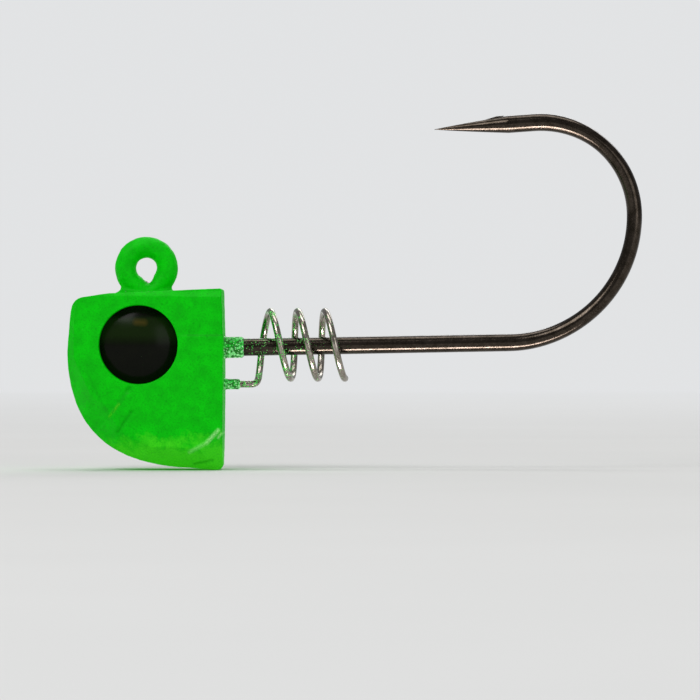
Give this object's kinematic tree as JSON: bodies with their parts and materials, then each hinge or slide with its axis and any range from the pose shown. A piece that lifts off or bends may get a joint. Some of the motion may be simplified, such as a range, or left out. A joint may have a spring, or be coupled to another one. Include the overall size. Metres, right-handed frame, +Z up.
{
  "type": "jig head",
  "caption": "Swimbait jig head: bevelled lead head with a glow coat, recessed domed eyes, line-tie ring, long-shank hook and a corkscrew bait keeper.",
  "frame": {"origin": "centre of the line-tie hole, in the middle of the head's width", "axes": "+Z up, with the line tie on top of the head; +X from the nose towards the hook's bend, along the shank; +Y across the head, along the line-tie hole"},
  "size_m": [0.0589, 0.0112, 0.0365],
  "materials": {
    "lead": "matte",
    "glow_coat": "satin",
    "hook_steel": "polished",
    "spring_steel": "satin",
    "eye_foil": "gloss",
    "eye_pupil": "gloss",
    "eye_resin": "gloss"
  },
  "bodies": {
    "root": {"head_casting": "lead", "head_coat": "glow_coat", "line_tie_coat": "glow_coat", "shank_coat": "glow_coat", "keeper_coat": "glow_coat", "hook": "hook_steel", "keeper_spring": "spring_steel", "left_eye_backing": "eye_foil", "left_eye_pupil": "eye_pupil", "left_eye_lens": "eye_resin", "right_eye_backing": "eye_foil", "right_eye_pupil": "eye_pupil", "right_eye_lens": "eye_resin"}
  },
  "joints": []
}
